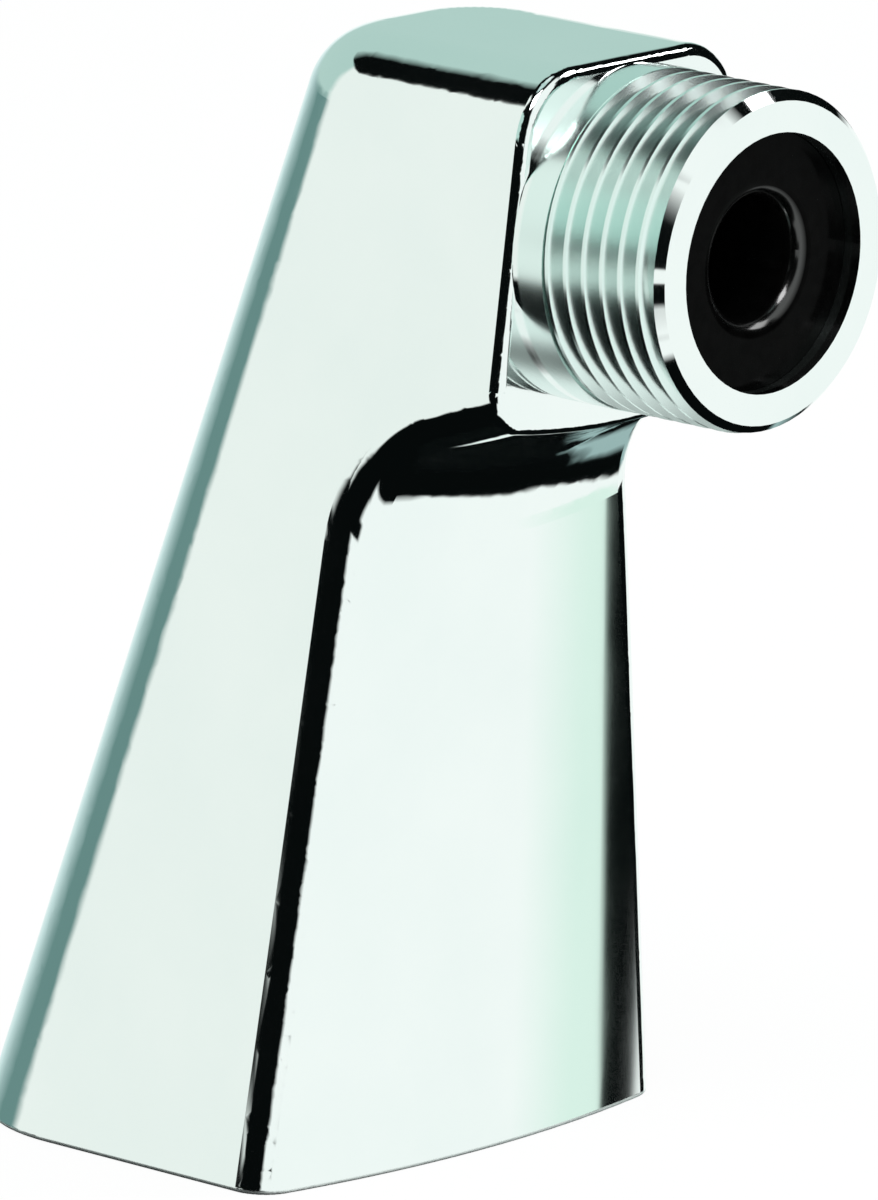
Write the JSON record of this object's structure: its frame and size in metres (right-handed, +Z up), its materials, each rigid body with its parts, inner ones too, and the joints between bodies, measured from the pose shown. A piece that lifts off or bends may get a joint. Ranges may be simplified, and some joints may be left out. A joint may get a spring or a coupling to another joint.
{
  "type": "upright tap coupling",
  "caption": "Upright chromed tap coupling: a tapered column that stands on a deck over its inlet and turns forward into a threaded outlet with a black flow ring.",
  "frame": {"origin": "On the deck plane under the foot, on the axis of the inlet hole", "axes": "+Z up, the outlet points to -Y, X is the width across the flanks"},
  "size_m": [0.0458, 0.0672, 0.0883],
  "materials": {
    "chrome": "polished plating",
    "rubber": "smooth black"
  },
  "bodies": {
    "root": {"body": "chrome", "flow_insert": "rubber"}
  },
  "joints": []
}
